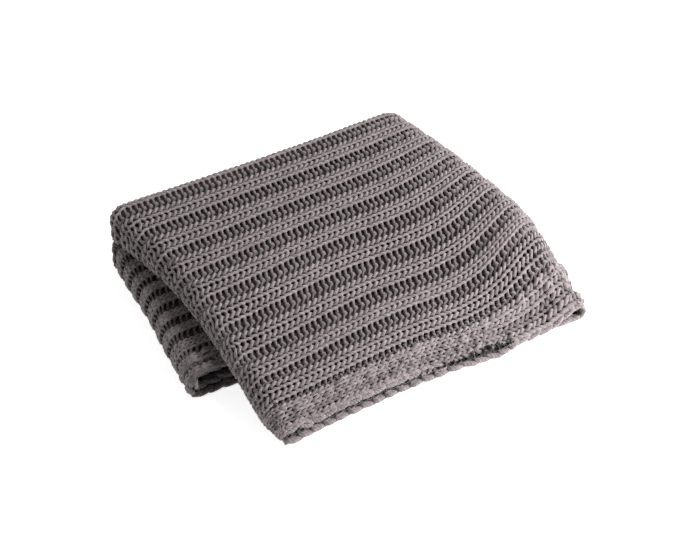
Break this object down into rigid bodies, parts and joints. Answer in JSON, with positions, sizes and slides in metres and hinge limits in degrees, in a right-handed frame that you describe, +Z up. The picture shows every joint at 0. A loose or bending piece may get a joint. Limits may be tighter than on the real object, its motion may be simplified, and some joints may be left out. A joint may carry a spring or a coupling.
{
  "type": "folded chunky knit blanket",
  "caption": "Chunky rib-knit blanket, folded back and forth into a low soft stack that is thick at the back and slopes to the front.",
  "frame": {"origin": "centre of the footprint's bounding rectangle, on the surface it lies on", "axes": "+X runs along the knitted ribs, from the left folds to the right fold; +Y from the front selvedges to the doubled back edge; +Z up"},
  "size_m": [0.4762, 0.3965, 0.091],
  "materials": {
    "knit": "matte thick knitted yarn, warm taupe grey"
  },
  "bodies": {
    "root": {"blanket": "knit"}
  },
  "joints": []
}
